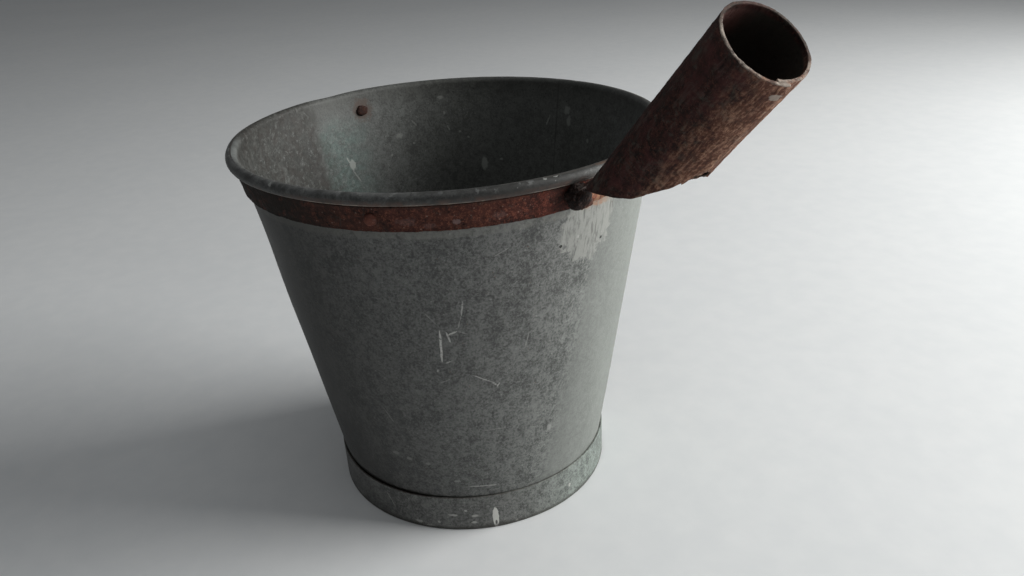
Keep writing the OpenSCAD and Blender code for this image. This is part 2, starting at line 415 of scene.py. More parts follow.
scratches = outside.scratch(scratches, [
    (-30.9, 0.1860, -32.0, 0.1760, 0.0004), (-32.3, 0.1745, -29.6, 0.1715, 0.0004),
    (-40.6, 0.1890, -37.6, 0.1795, 0.0004), (-60.0, 0.1080, -57.5, 0.0950, 0.0006),
    (-27.2, 0.0900, -19.0, 0.0895, 0.0004), (-12.0, 0.1650, -13.0, 0.1540, 0.0004),
    (-17.5, 0.2290, -22.0, 0.2240, 0.0004), (-39.0, 0.1340, -35.5, 0.1370, 0.0004)], wall_mid_r, 0.28)
skin = outside.mix(scratches, skin, (0.60, 0.60, 0.57))
paint = outside.specks(85, 0.07, share=0.16)*outside.z.rise(0.14, 0.04)
paint = outside.dab(paint, [
    (-60, 0.066, 0.0024, 0.0016), (-55, 0.063, 0.0022, 0.0014),
    (-48, 0.060, 0.0016, 0.0010), (-2.4, 0.078, 0.0018, 0.0030),
    (2.0, 0.224, 0.0010, 0.0010), (-38, 0.044, 0.0022, 0.0012)], 0.8, 650, 0.6)
skin = outside.mix(paint*0.5, skin, (0.46, 0.465, 0.44))
dark_pits = outside.patch(-3.5, 0.221, 0.0012, 0.0010, 0.4, 900)
dark_pits = dark_pits.most(outside.patch(11, 0.217, 0.0010, 0.0010, 0.4, 900))
skin = outside.mix(dark_pits, skin, (0.02, 0.02, 0.018))
left = outside.arc(-75, -0.120, -0.03, -0.01, 0.110)
# Partly painted shade, partly dirt: a dark line on the wall along the top of the foot hoop, much wider on
# the left side, away from the window.
ledge = outside.grain(70, 4, 0.65)*(left*0.0060 + 0.0008) + hoop_top - left*0.0010 - 0.0005
gap_shade_and_dirt = (outside.z - ledge).rise(0.0006, -0.0004)
skin = outside.mix(gap_shade_and_dirt*(left*0.35 + 0.55), skin, (0.030, 0.026, 0.020))
# Painted shade: a dark line on the wall just under the strap's lower edge.
under = outside.z.rise(0.2452, 0.2470)
skin = outside.mix(under*0.75, skin, (0.035, 0.028, 0.024))
rust_specks = outside.specks(240, 0.15, share=0.07)
skin = outside.mix(rust_specks*0.5, skin, (0.15, 0.085, 0.055))
# Painted shade: the wall's left side, away from the window, darkened.
skin = outside.tint(left*0.95, skin, (0.42, 0.415, 0.41))
rough = tone.rise(0.1, 0.9)*0.2 + 0.52 + scraped*0.1
metal = tone.rise(0, 1)*0.22 + 0.12
outside_zinc = outside.shader(skin, rough, metal, height - scratches*0.5 + scraped*0.3, 0.35, 0.0006)

inside = Finish("zinc_inside")
skin, height, tone = old_zinc(inside, (0.072, 0.075, 0.072), (0.185, 0.195, 0.188))
# Painted shade: the inside of the wall on the window's side, which faces away from the window, darkened.
skin = inside.tint(inside.arc(125, -0.14, -0.05, 0.05, 0.14)*0.6, skin, (0.42, 0.42, 0.385))
across, front = inside.around(189)
edge_wave = (inside.grain(60, 5, 0.7) - 0.5)*0.024
wet = (across + edge_wave).rise(-0.036, 0.004)*(across + edge_wave*0.8).rise(0.0270, 0.0185)*front
wet = wet*(inside.z + edge_wave*2).rise(0.262, 0.236)
washed = inside.grain(120, 6, 0.75, swirl=0.8).rise(0.34, 0.62)
skin = inside.mix(wet*(washed*0.52 + 0.08), skin, (0.140, 0.212, 0.194))
limed = inside.grain(230, 5, 0.75).rise(0.52, 0.66)*wet
skin = inside.mix(limed*0.4, skin, (0.25, 0.31, 0.285))
across, front = inside.around(222)
browned = (across - edge_wave).rise(-0.066, -0.044)*across.rise(0.110, 0.055)*front
browned = browned*inside.z.rise(0.03, 0.12)
skin = inside.tint(browned*0.95, skin, (0.465, 0.455, 0.435))
pale_wash = inside.grain(95, 6, 0.75, swirl=0.6).rise(0.48, 0.64)*browned
skin = inside.mix(pale_wash*0.4, skin, (0.125, 0.126, 0.120))
rusted = inside.grain(110, 6, 0.75).rise(0.46, 0.60)*browned
skin = inside.mix(rusted*0.6, skin, (0.048, 0.041, 0.036))
stained = browned.most(wet)
speckled = inside.grain(300, 4, 0.85).rise(0.42, 0.60)*stained
skin = inside.tint(speckled*0.75, skin, (0.52, 0.52, 0.50))
dusted = inside.grain(210, 6, 0.82, swirl=0.4).rise(0.53, 0.64)*stained
skin = inside.mix(dusted*0.46, skin, (0.25, 0.265, 0.255))
under_rim = (inside.z + (inside.grain(50, 4) - 0.5)*0.012).rise(0.246, 0.266)
skin = inside.tint(under_rim*0.75, skin, (0.55, 0.54, 0.52))
# Painted highlight: a pale patch on the inner top of the rim's curl near its left end.
pale_top_patch = inside.arc(-107, -0.042, -0.010, 0.010, 0.042)*inside.z.rise(rim_z - 0.0020, rim_z + 0.0032)
skin = inside.mix(pale_top_patch*(inside.grain(95, 5, 0.7).rise(0.35, 0.6)*0.25 + 0.28), skin, (0.25, 0.27, 0.265))
inside_mid_r = 0.137
marks = inside.patch(187.8, 0.2135, 0.0026, 0.0042, 0.8, 420, 0.4)
marks = marks.most(inside.stroke(188.4, 0.2100, 185.8, 0.1980, 0.0007, inside_mid_r)*0.6)*0.6
marks = marks.most(inside.stroke(189.8, 0.2210, 188.6, 0.2150, 0.0008, inside_mid_r)*0.7)
marks = marks.most(inside.patch(137.4, 0.1995, 0.0026, 0.0050, 0.6, 420, 0.6)*0.42)
marks = inside.scratch(marks, [
    (150.5, 0.2330, 149.4, 0.2280, 0.0006), (163.0, 0.2400, 161.2, 0.2345, 0.0007),
    (112.5, 0.2420, 114.0, 0.2330, 0.0008)], inside_mid_r, 0.32)
marks = inside.dab(marks, [
    (106, 0.247, 0.0026, 0.0032), (105, 0.2385, 0.0020, 0.0040), (96, 0.226, 0.0012, 0.0016),
    (152, 0.256, 0.0026, 0.0014), (143, 0.222, 0.0010, 0.0010), (146, 0.227, 0.0011, 0.0009),
    (131, 0.203, 0.0013, 0.0010), (151, 0.243, 0.0009, 0.0012), (172, 0.214, 0.0010, 0.0009),
    (168, 0.229, 0.0026, 0.0020), (163, 0.221, 0.0009, 0.0009)], 0.30, 480, 0.8)
splash = inside.specks(120, 0.06, share=0.14)*inside.grain(9, 2).rise(0.45, 0.6)
marks = marks.most(splash*0.3)
skin = inside.mix(marks, skin, (0.42, 0.44, 0.41))
across, front = inside.around(seam_turn)
fold = abs(across + (inside.grain(40, 2) - 0.5)*0.0008).rise(0.0009, 0.0002)*front
skin = inside.mix(fold*0.4, skin, (0.018, 0.019, 0.017))
rusted_z = 0.2545
around_tail = inside.patch(180, rusted_z, 0.0085, 0.0085, 0.9, 260, 0.6)
for tail in (49, -49):
    around_tail = around_tail.most(inside.patch(tail, rusted_z, 0.0085, 0.0085, 0.9, 260, 0.6))
skin = inside.mix(around_tail*0.6, skin, (0.075, 0.040, 0.026))
silt = inside.z.rise(0.050, 0.016)*inside.grain(60, 4).rise(0.3, 0.55)
skin = inside.mix(silt*0.7, skin, (0.070, 0.062, 0.048))
rough = tone.rise(0.1, 0.9)*0.2 + 0.56
metal = tone.rise(0, 1)*0.16 + 0.06
inside_zinc = inside.shader(skin, rough, metal, height - fold*0.8, 0.35, 0.0006)

rim = Finish("zinc_rim")
skin, height, tone = old_zinc(rim, (0.034, 0.035, 0.034), (0.112, 0.116, 0.113))
reach = (rim.x**2 + rim.y**2)**0.5
outer = reach.rise(rim_r + 0.0006, rim_r + 0.0020)
worn = rim.z.rise(rim_z + 0.0012, rim_z + 0.0036)*rim.grain(48, 5, 0.65).rise(0.38, 0.62)
skin = rim.mix(worn*outer*0.45, skin, (0.225, 0.235, 0.23))
near_arc = rim.arc(-30, -0.110, -0.070, 0.065, 0.105)
# Painted shade: the near stretch of the rim darkened, most on its side towards the window.
skin = rim.tint(near_arc*rim.around(-30)[0].rise(-0.05, 0.03)*0.85, skin, (0.42, 0.41, 0.395))
# Painted highlight: a pale patch on the outer top of the rim's curl near its left end.
left_bead_highlight = rim.patch(-113, rim_z + 0.0014, 0.030, 0.0044, 0.5, 130, 0.8)
skin = rim.mix(left_bead_highlight*0.55, skin, (0.27, 0.285, 0.28))
belly = rim.z.rise(rim_z + 0.0012, rim_z - 0.0012)*rim.grain(85, 5, 0.7).rise(0.38, 0.56)*near_arc
skin = rim.mix(belly*0.65, skin, (0.082, 0.050, 0.040))
tucked = rim.z.rise(rim_z - 0.0020, rim_z - 0.0032)*rim.grain(70, 4).rise(0.30, 0.6)*outer
skin = rim.mix(tucked*(near_arc*0.45 + 0.4), skin, (0.40, 0.34, 0.285))
dull = rim.grain(75, 6, 0.72, swirl=0.5).rise(0.50, 0.60)
skin = rim.mix(dull*0.6, skin, (0.034, 0.034, 0.032))
pale_top_patch = rim.grain(120, 6, 0.7).rise(0.56, 0.66)*rim.z.rise(rim_z, rim_z + 0.003)
skin = rim.mix(pale_top_patch*0.5, skin, (0.26, 0.27, 0.265))
chips = rim.dab(rim.specks(230, 0.12, share=0.10)*0.5, [
    (-7.4, rim_z + 0.0037, 0.0016, 0.0005), (104, rim_z + 0.0034, 0.0020, 0.0008),
    (164, rim_z + 0.0034, 0.0016, 0.0008), (-74, rim_z + 0.0026, 0.0013, 0.0009),
    (-10.0, rim_z + 0.0034, 0.0010, 0.0005), (60, rim_z + 0.0034, 0.0014, 0.0008)], 1.0, 800, 0.4)
skin = rim.mix(chips*0.6, skin, (0.42, 0.43, 0.41))
rusting = rim.grain(60, 5, 0.7).rise(0.50, 0.64)*rim.z.rise(rim_z + 0.001, rim_z - 0.002)
skin = rim.mix(rusting*0.65, skin, (0.105, 0.060, 0.046))
rough = tone.rise(0.1, 0.9)*0.2 + near_arc*0.08 + 0.46
rim_zinc = rim.shader(skin, rough, tone.rise(0, 1)*0.2 + 0.12, height, 0.5, 0.0008)

for finish in (outside_zinc, inside_zinc, rim_zinc):
    wall.data.materials.append(finish)
for face in wall.data.polygons:
    outward = face.normal.x*face.center.x + face.normal.y*face.center.y > 0
    reach = hypot(face.center.x, face.center.y)
    if face.center.z > rim_z - curl_r*0.98 and reach > rim_r + 0.0004:
        face.material_index = 2
    elif not outward:
        face.material_index = 1
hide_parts("bucket_wall")
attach(wall, "root")


# Rim wire: a plain steel wire ring that the top edge of the sheet is curled round; it is
# hidden, except where the curl stops short of the wall underneath.
bpy.ops.object.select_all(action="DESELECT")
wire_slack = 0.00002
bpy.ops.mesh.primitive_torus_add(major_radius=rim_r, minor_radius=curl_r - sheet - wire_slack,
                                 major_segments=round_sides, minor_segments=20, location=(0, 0, rim_z))
wire = bpy.context.object
wire.name = "curled_in_wire"
bpy.ops.object.transform_apply(location=True, rotation=True, scale=True)
knock(wire)
close_up(wire, 60)
steel = Finish("wire_steel")
drawn = steel.grain(240, 4, 0.6)
rusty = steel.grain(60, 5, 0.65).rise(0.45, 0.6)
skin = steel.mix(drawn, (0.09, 0.09, 0.088), (0.17, 0.17, 0.165))
skin = steel.mix(rusty*0.7, skin, (0.085, 0.040, 0.026))
wire_steel = steel.shader(skin, rusty*0.3 + 0.45, 0.7 - rusty*0.6, drawn + rusty, 0.3, 0.0004)
wire.data.materials.append(wire_steel)
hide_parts("rim_wire")
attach(wire, "root")


# Floor pan: a disc of the same sheet, dished up inside the foot and folded round the wall's
# edge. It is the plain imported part, dull, with silt and old water lines on it.
pan = frame["nodes"]["bucket_floor"]
pan_finish = Finish("zinc_floor")
skin, height, tone = old_zinc(pan_finish, (0.075, 0.078, 0.074), (0.180, 0.186, 0.176))
reach = (pan_finish.x**2 + pan_finish.y**2)**0.5
ringed = (reach + (pan_finish.grain(30, 4) - 0.5)*0.020).rise(0.062, 0.095)
skin = pan_finish.mix(ringed*0.55, skin, (0.060, 0.052, 0.040))
tide = abs(reach + (pan_finish.grain(24, 3) - 0.5)*0.030 - 0.050).rise(0.0032, 0.0006)
skin = pan_finish.mix(tide*0.5, skin, (0.25, 0.26, 0.235))
spots = pan_finish.grain(85, 6, 0.7).rise(0.58, 0.68)
skin = pan_finish.mix(spots*0.55, skin, (0.085, 0.048, 0.030))
rough = tone.rise(0, 1)*0.2 + 0.56
metal = tone.rise(0, 1)*0.16 + 0.08
pan.data.materials.clear()
pan.data.materials.append(pan_finish.shader(skin, rough, metal, height, 0.4, 0.0006))


# Foot hoop: a strip of galvanised sheet bent round the foot with its ends lapped, so that
# the pail stands on its lower edge. Its top edge stands off the wall a little on one side.
hoop_low, hoop_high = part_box("foot_hoop")
hoop_in_r = 0.1032
hoop_t = 0.0012
hoop_mid_r = 0.104
hoop_steps = 20
lap_turn = 157
hoop_lap_half = 7
stations = []
for step in range(hoop_steps + 1):
    stations.append((hoop_in_r, hoop_low.z + (hoop_high.z - hoop_low.z)*step/hoop_steps))
hoop = ring_up("foot_hoop_strip", round_sides, stations)
modify(hoop, "SOLIDIFY", thickness=hoop_t, offset=1)
close_up(hoop, 40)
pick_faces(hoop, lambda spot, normal: gap(turn_of(spot), lap_turn) < hoop_lap_half
           and normal.x*spot.x + normal.y*spot.y > 0.09)
swell(hoop_t)
modify(hoop, "BEVEL", width=0.0003, segments=2, limit_method="ANGLE", angle_limit=radians(50))
tight_z = 0.012
gape = 0.0009
gape_turn = -72
tuck = 0.00012
hoop_dent = 0.0004
hoop_dent_turn = -12
hoop_dent_z = 0.008
for point in hoop.data.vertices:
    spot = point.co
    turn = turn_of(spot)
    high = max(0, spot.z - tight_z)/(hoop_high.z - tight_z)
    flare = gape*exp(-(gap(turn, gape_turn)/30)**2)*high**2 - tuck*high
    flare += 0.0003*high*noise.noise(Vector((cos(radians(turn)), sin(radians(turn)), 0))*5)
    dented = exp(-(gap(turn, hoop_dent_turn)/9)**2)*exp(-((spot.z - hoop_dent_z)/0.010)**2)
    flare -= hoop_dent*dented
    reach = hypot(spot.x, spot.y)
    spot.x *= 1 + flare/reach
    spot.y *= 1 + flare/reach
    if spot.z > 0.020:
        spot.z += 0.00035*noise.noise(Vector((cos(radians(turn))*4, sin(radians(turn))*4, 3)))
hoop.data.update()
close_up(hoop, 40)
hoop_finish = Finish("zinc_hoop")
skin, height, tone = old_zinc(hoop_finish, (0.052, 0.053, 0.050), (0.215, 0.218, 0.209))
# Painted light: the hoop's half towards the window lightened, with a faint green cast.
skin = hoop_finish.tint(hoop_finish.arc(45, -0.105, -0.03, 0.02, 0.095), skin, (1.46, 1.66, 1.58))
drip = hoop_finish.patch(-24.4, 0.0088, 0.0022, 0.0088, 0.35, 500, 0.15)
hole = hoop_finish.patch(-24.3, 0.0042, 0.0008, 0.0018, 0.2, 500, 0.3)
drip = drip*(1 - hole)
marks = hoop_finish.dab(drip, [
    (-55.4, 0.004, 0.0026, 0.0014), (-32.5, 0.012, 0.0024, 0.0010), (-15.9, 0.002, 0.0012, 0.0009),
    (-41, 0.013, 0.0030, 0.0008), (-47, 0.006, 0.0010, 0.0010), (-36, 0.017, 0.0010, 0.0008),
    (-33, 0.006, 0.0020, 0.0010), (10, 0.012, 0.0012, 0.0016), (-51, 0.002, 0.0030, 0.0009)], 0.5, 600, 0.6)
marks = marks.most(hoop_finish.stroke(-70, 0.022, -66, 0.010, 0.0006, hoop_mid_r)*0.35)
marks = marks.most(hoop_finish.specks(120, 0.07, share=0.15)*0.35)
skin = hoop_finish.mix(marks*0.95, skin, (0.66, 0.66, 0.62))
grime = (hoop_finish.z - hoop_finish.grain(60, 4)*0.004).rise(0.0022, -0.0012)
skin = hoop_finish.mix(grime*0.7, skin, (0.040, 0.038, 0.030))
left = hoop_finish.arc(-75, -0.095, -0.03, -0.01, 0.07)
edge = (hoop_finish.z + hoop_finish.grain(70, 4)*0.0016).rise(hoop_top + 0.0001, hoop_top + 0.0009)
skin = hoop_finish.mix(edge*(left*0.35 + 0.25), skin, (0.090, 0.072, 0.056))
# Painted shade: the hoop's left side, away from the window, darkened.
skin = hoop_finish.tint(left*0.5, skin, (0.66, 0.65, 0.64))
rough = tone.rise(0, 1)*0.2 + 0.52
metal = tone.rise(0, 1)*0.22 + 0.1
hoop.data.materials.append(hoop_finish.shader(skin, rough, metal, height + drip*0.6, 0.35, 0.0006))
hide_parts("foot_hoop")
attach(hoop, "root")


# Rim band: a strap of flat iron forged round the pail under the rim, with lapped ends at the
# back. It was never zinced, and it is rusted red-brown and pitted all over.
band_t = 0.0025
band_steps = 14
strap_turn = 180
strap_lap_half = 7.4
stations = []
for step in range(band_steps + 1):
    z = band_low.z + (band_high.z - band_low.z)*step/band_steps
    stations.append((wall_r(z), z))
strap = ring_up("rim_strap", 640, stations)
modify(strap, "SOLIDIFY", thickness=band_t, offset=1)
close_up(strap, 40)
pick_faces(strap, lambda spot, normal: gap(turn_of(spot), strap_turn) < strap_lap_half
           and normal.x*spot.x + normal.y*spot.y > 0.1)
swell(band_t)
modify(strap, "BEVEL", width=0.0005, segments=2, limit_method="ANGLE", angle_limit=radians(50))


def pit(piece, deep, fine):
    """Eats a piece's surface as rust does: shallow scabs, then small pits."""
    scabs = bpy.data.textures.new(piece.name + "_scabs", "CLOUDS")
    scabs.noise_scale = 0.009
    scabs.noise_depth = 3
    modify(piece, "DISPLACE", texture=scabs, strength=deep, mid_level=0.5)
    pits = bpy.data.textures.new(piece.name + "_pits", "CLOUDS")
    pits.noise_scale = 0.0028
    pits.noise_depth = 2
    modify(piece, "DISPLACE", texture=pits, strength=fine, mid_level=0.5)


pit(strap, 0.0008, 0.0006)
knock(strap)
close_up(strap, 60)


def old_rust(finish, dark, mid, bright, crust, pale=(0.25, 0.165, 0.145)):
    """Matt iron rust: dark scale, red-brown powder, bright flecks and grey crust."""
    scale = finish.grain(75, 6, 0.68, swirl=0.6)
    powder = finish.grain(420, 5, 0.7)
    dots = finish.grain(1300, 3, 0.7)
    colour = finish.mix((scale*0.6 + powder*0.4).rise(0.34, 0.60), dark, mid)
    colour = finish.mix((powder*0.5 + dots*0.5).rise(0.50, 0.64)*0.85, colour, bright)
    crusted = finish.grain(150, 6, 0.72, swirl=1.0).rise(0.56, 0.66)
    colour = finish.mix(crusted*0.6, colour, crust)
    dusty = finish.specks(520, 0.30, share=0.24)*powder.rise(0.40, 0.56)
    colour = finish.mix(dusty*0.6, colour, pale)
    black = finish.specks(330, 0.30, share=0.34)
    colour = finish.mix(black*0.7, colour, (0.010, 0.006, 0.005))
    height = scale*0.8 + powder*0.5 + dots*0.25 + crusted*0.3 - black*0.4
    return colour, height, powder


matt = {"Specular IOR Level": 0.2}
band_finish = Finish("band_rust")
skin, height, powder = old_rust(band_finish, (0.022, 0.010, 0.009), (0.098, 0.034, 0.024),
                                (0.240, 0.090, 0.058), (0.076, 0.060, 0.052), (0.34, 0.24, 0.20))
# Painted light: the strap's front near the socket, where window light falls, made brighter and redder.
window_lit_front = band_finish.arc(60, -0.148, -0.122, -0.118, -0.095)
skin = band_finish.tint(window_lit_front, skin, (1.6, 1.06, 0.95))
# Partly painted shade, partly soot: the strap's left side, away from the window, darkened nearly to black
# in patches.
leftmost = band_finish.arc(-100, -0.125, -0.06, 0.060, 0.135)
soot_and_shade = leftmost*band_finish.grain(130, 5, 0.7).rise(0.28, 0.52)
skin = band_finish.mix(soot_and_shade*0.92, skin, (0.0165, 0.0150, 0.0130))
light_spot = band_finish.patch(-29.9, 0.2508, 0.0020, 0.0015, 1.0, 520, 0.5)
light_spot = band_finish.dab(light_spot, [
    (-41, 0.2520, 0.0050, 0.0022), (-36, 0.2490, 0.0040, 0.0016), (-20.5, 0.2520, 0.0040, 0.0018)],
    0.3, 520, 0.5, ragged=1.6)
skin = band_finish.mix(light_spot*0.55, skin, (0.25, 0.18, 0.175))
# Painted light: a pool of sunlight, orange-tan, on the strap beside the socket.
across, front = band_finish.around(8)
sunlit_edge = across + (band_finish.grain(80, 4, 0.7) - 0.5)*0.016
sunlit_patch = sunlit_edge.rise(-0.014, -0.006)*sunlit_edge.rise(0.026, 0.002)*front
sunlit_patch = sunlit_patch*(band_finish.grain(300, 4, 0.7).rise(0.38, 0.60)*0.6 + 0.15)
skin = band_finish.mix(sunlit_patch, skin, (0.44, 0.245, 0.145))
# A near-black smudge on the strap, to the left of the weld lump under the socket.
dark_smudge = band_finish.patch(-5.0, 0.2545, 0.0082, 0.0095, 0.9, 170, 0.9)
skin = band_finish.mix(dark_smudge*0.65, skin, (0.016, 0.011, 0.010))
low_edge = (band_finish.z - band_finish.grain(90, 3)*0.002).rise(band_low.z + 0.0018, band_low.z - 0.0006)
skin = band_finish.tint(low_edge*0.55, skin, (0.45, 0.45, 0.45))
# Painted shade: the strap's top edge darkened under the rim's curl.
top_edge = (band_finish.z + band_finish.grain(90, 3)*0.003).rise(band_high.z - 0.0014, band_high.z + 0.0010)
skin = band_finish.mix(top_edge*0.5, skin, (0.030, 0.022, 0.019))
band_rust = band_finish.shader(skin, powder*0.2 + 0.72, 0.0, height, 0.7, 0.0009, **matt)
strap.data.materials.append(band_rust)
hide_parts("rim_band")
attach(strap, "root")


# Rivets: three soft iron rivets through strap and wall, with domed heads outside and their
# tails hammered flat inside. They are as rusty as the strap.
wall_lean = atan2(taper, 1)
rivet_z = (band_low.z + band_high.z)/2
head_r = 0.004
dome = 0.55
shank_r = 0.0025
tail_spread = 1.9
tail_t = 0.0010
crown_ring = 0.0013
crown_rises = (0.0007, 0.0003)
hair = 0.0001


def rivet(name, node, turn, grip, seed):
    """One rivet set square to the wall: head outside, shank, and spread tail inside."""
    bpy.ops.object.select_all(action="DESELECT")
    bpy.ops.mesh.primitive_uv_sphere_add(segments=40, ring_count=24, radius=head_r, location=(0, 0, 0))
    piece = bpy.context.object
    piece.name = name
    edit(piece)
    bpy.ops.mesh.select_all(action="SELECT")
    bpy.ops.mesh.bisect(plane_co=(0, 0, hair), plane_no=(0, 0, 1), clear_inner=True, use_fill=True)
    bpy.ops.mesh.select_all(action="SELECT")
    bpy.ops.transform.resize(value=(1, 1, dome), center_override=(0, 0, 0))
    bpy.ops.object.mode_set(mode="OBJECT")
    pick_faces(piece, lambda spot, normal: normal.z < -0.9)
    bpy.ops.mesh.inset(thickness=head_r - shank_r, depth=0)
    bpy.ops.mesh.extrude_region_move(TRANSFORM_OT_translate={"value": (0, 0, -grip - sheet - hair)})
    bpy.ops.mesh.extrude_region_move(TRANSFORM_OT_translate={"value": (0, 0, -hair)})
    bpy.ops.transform.resize(value=(tail_spread, tail_spread, 1), center_override=(0, 0, 0))
    bpy.ops.mesh.extrude_region_move(TRANSFORM_OT_translate={"value": (0, 0, -tail_t)})
    bpy.ops.transform.resize(value=(0.97, 0.97, 1), center_override=(0, 0, 0))
    for rise in crown_rises:
        bpy.ops.mesh.inset(thickness=crown_ring, depth=0)
        bpy.ops.transform.translate(value=(0, 0, -rise))
    bpy.ops.object.mode_set(mode="OBJECT")
    modify(piece, "SUBSURF", levels=2, render_levels=2)
    for point in piece.data.vertices:
        shift = noise.noise_vector(point.co*240 + Vector((seed, 0, 0)))
        point.co += shift*0.0005
        if point.co.z < -grip:
            ragged = 1 + 0.16*noise.noise(Vector((point.co.x*300, point.co.y*300, seed)))
            point.co.x *= ragged
            point.co.y *= ragged
    place = Matrix.Rotation(radians(turn), 4, "Z")
    place = place @ Matrix.Translation((wall_r(rivet_z), 0, rivet_z))
    place = place @ Matrix.Rotation(pi/2 + wall_lean, 4, "Y") @ Matrix.Translation((0, 0, grip))
    piece.data.transform(place)
    knock(piece)
    close_up(piece, 60)
    piece.data.materials.append(rivet_rust)
    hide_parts(node)
    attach(piece, "root")


rivet_finish = Finish("rivet_rust")
skin, height, powder = old_rust(rivet_finish, (0.032, 0.015, 0.012), (0.115, 0.042, 0.028),
                                (0.260, 0.105, 0.062), (0.105, 0.085, 0.078))
reach = (rivet_finish.x**2 + rivet_finish.y**2)**0.5
top = (reach + (rivet_finish.grain(500, 3) - 0.5)*0.002).rise(0.1452, 0.1470)
skin = rivet_finish.mix(top*0.35, skin, (0.205, 0.066, 0.048))
tail = reach.rise(0.1415, 0.1400)
skin = rivet_finish.tint(tail, skin, (0.32, 0.35, 0.37))
rivet_rust = rivet_finish.shader(skin, powder*0.2 + 0.68, 0.0, height, 0.5, 0.0006, **matt)
rivet("rivet_by_left", "rivet_left", -49, band_t, 3)
rivet("rivet_by_right", "rivet_right", 49, band_t, 11)
rivet("rivet_at_lap", "rivet_back", 180, 2*band_t, 27)


# Pole socket: a strip of iron rolled round a mandrel until its edges lap on the underside,
# cut off at a slant at the bottom and held to the strap by its tongue. Its mouth takes the
# end of a wooden pole. It is the rustiest piece, flaking along the lap.
mount = [m for m in frame["record"]["mounts"] if m["name"] == "pole_socket"][0]
mouth = Vector(mount["pos_m"])
along = Vector(mount["axis"]).normalized()
side = Vector((0, 1, 0))
under = side.cross(along).normalized()
bore_r = mount["dims"]["r_mm"]/1000
tube_t = 0.0015
tube_r = bore_r + tube_t
tube_lap = 0.0016
tube_length = 0.183
lap_start = -24
roll_sweep = 375
bpy.ops.object.select_all(action="DESELECT")
bpy.ops.mesh.primitive_grid_add(x_subdivisions=150, y_subdivisions=190, size=1)
tube = bpy.context.object
tube.name = "pole_tube"
for point in tube.data.vertices:
    share = point.co.y + 0.5
    down = (0.5 - point.co.x)*tube_length
    ragged = noise.noise(Vector((down*210, 0, 7)))*0.6 + noise.noise(Vector((down*620, 0, 2)))*0.4
    swing = radians(lap_start + roll_sweep*share) + 0.09*ragged*max(0, share - 0.97)/0.03
    grown = tube_r + tube_lap*max(0, swing/pi - 1) - 0.0003*(swing < 0.2)
    flake = max(0, share - 0.965)/0.035
    grown += flake*0.0012*max(0, noise.noise(Vector((down*300, 5, 1))) + 0.1)
    roll = under*cos(swing) + side*sin(swing)
    if down < 0.006:
        down += noise.noise(Vector((roll.x*5, roll.y*5, roll.z*5 + 4)))*0.00035
    grown += noise.noise(roll*1.2 + along*down*18)*0.0004
    point.co = mouth - along*down + roll*grown
tube.data.update()
low_spot = Vector((0.208, 0, 0.273))
flat_cut = 8.4
steep_cut = 23.4
corner_cut = 36
slope = Vector((-sin(radians(steep_cut)), 0, cos(radians(steep_cut))))
under_spot = mouth + under*tube_r
corner = under_spot - along*(under_spot - low_spot).dot(slope)/along.dot(slope)
for cut_spot, rise in ((low_spot, flat_cut), (low_spot, steep_cut), (corner + along*0.0070, corner_cut)):
    cut_normal = Vector((-sin(radians(rise)), 0, cos(radians(rise))))
    edit(tube)
    bpy.ops.mesh.select_all(action="SELECT")
    bpy.ops.mesh.bisect(plane_co=cut_spot, plane_no=cut_normal, clear_inner=True)
    bpy.ops.object.mode_set(mode="OBJECT")
    for point in tube.data.vertices:
        if (point.co - cut_spot).dot(cut_normal) < 0.0004:
            point.co += cut_normal*0.0008*max(-0.3, noise.noise(point.co*150))
tube.data.flip_normals()
modify(tube, "SOLIDIFY", thickness=tube_t, offset=-1)
modify(tube, "BEVEL", width=0.0003, segments=1, limit_method="ANGLE", angle_limit=radians(60))

bpy.ops.object.select_all(action="DESELECT")
root_spot = Vector((wall_r(0.2465) + 0.0034, 0, 0.2518))
root_size = (0.0066, 0.012, 0.0108)
tongue_end = root_spot + Vector((0, 0, root_size[2]/2))
# Each bend of the tongue: how far its end moves on, and the share of its thickness that is left
tongue_bends = [(Vector((0.0087, 0, 0.0045)), 0.5), (Vector((0.0120, 0, 0.0080)), 0.3)]
bpy.ops.mesh.primitive_cube_add(size=1, location=root_spot, scale=root_size)
tongue = bpy.context.object
tongue.name = "tongue"
bpy.ops.object.transform_apply(location=True, rotation=True, scale=True)
pick_faces(tongue, lambda spot, normal: normal.z > 0.9)
for move, thinned in tongue_bends:
    tongue_end += move
    bpy.ops.mesh.extrude_region_move(TRANSFORM_OT_translate={"value": tuple(move)})
    bpy.ops.transform.resize(value=(thinned, 1.1, 1), center_override=tuple(tongue_end))
bpy.ops.object.mode_set(mode="OBJECT")
modify(tongue, "BEVEL", width=0.0016, segments=3, limit_method="ANGLE", angle_limit=radians(40))
modify(tongue, "SUBSURF", levels=3, render_levels=3, subdivision_type="SIMPLE")
bpy.ops.object.select_all(action="DESELECT")
tongue.select_set(True)
tube.select_set(True)
bpy.context.view_layer.objects.active = tube
bpy.ops.object.join()
pit(tube, 0.0004, 0.0005)
close_up(tube, 60)

socket = Finish("socket_rust")
skin, height, powder = old_rust(socket, (0.010, 0.006, 0.005), (0.046, 0.017, 0.014),
                                (0.110, 0.042, 0.030), (0.062, 0.054, 0.046), (0.125, 0.085, 0.070))
from_mouth = (mouth.x*along.x + mouth.z*along.z) - (socket.x*along.x + socket.z*along.z)
lowness = (socket.x - mouth.x)*under.x + (socket.z - mouth.z)*under.z
ripple = socket.grain(130, 5, 0.7)
laid = {"Vector": socket.spot, "Rotation": (0, atan2(along.x, along.z), 0), "Scale": (1, 1, 5)}
lengthways = socket.add("ShaderNodeMapping", {"vector_type": "TEXTURE"}, laid)
streaky = socket.grain(380, 6, 0.78, lengthways)
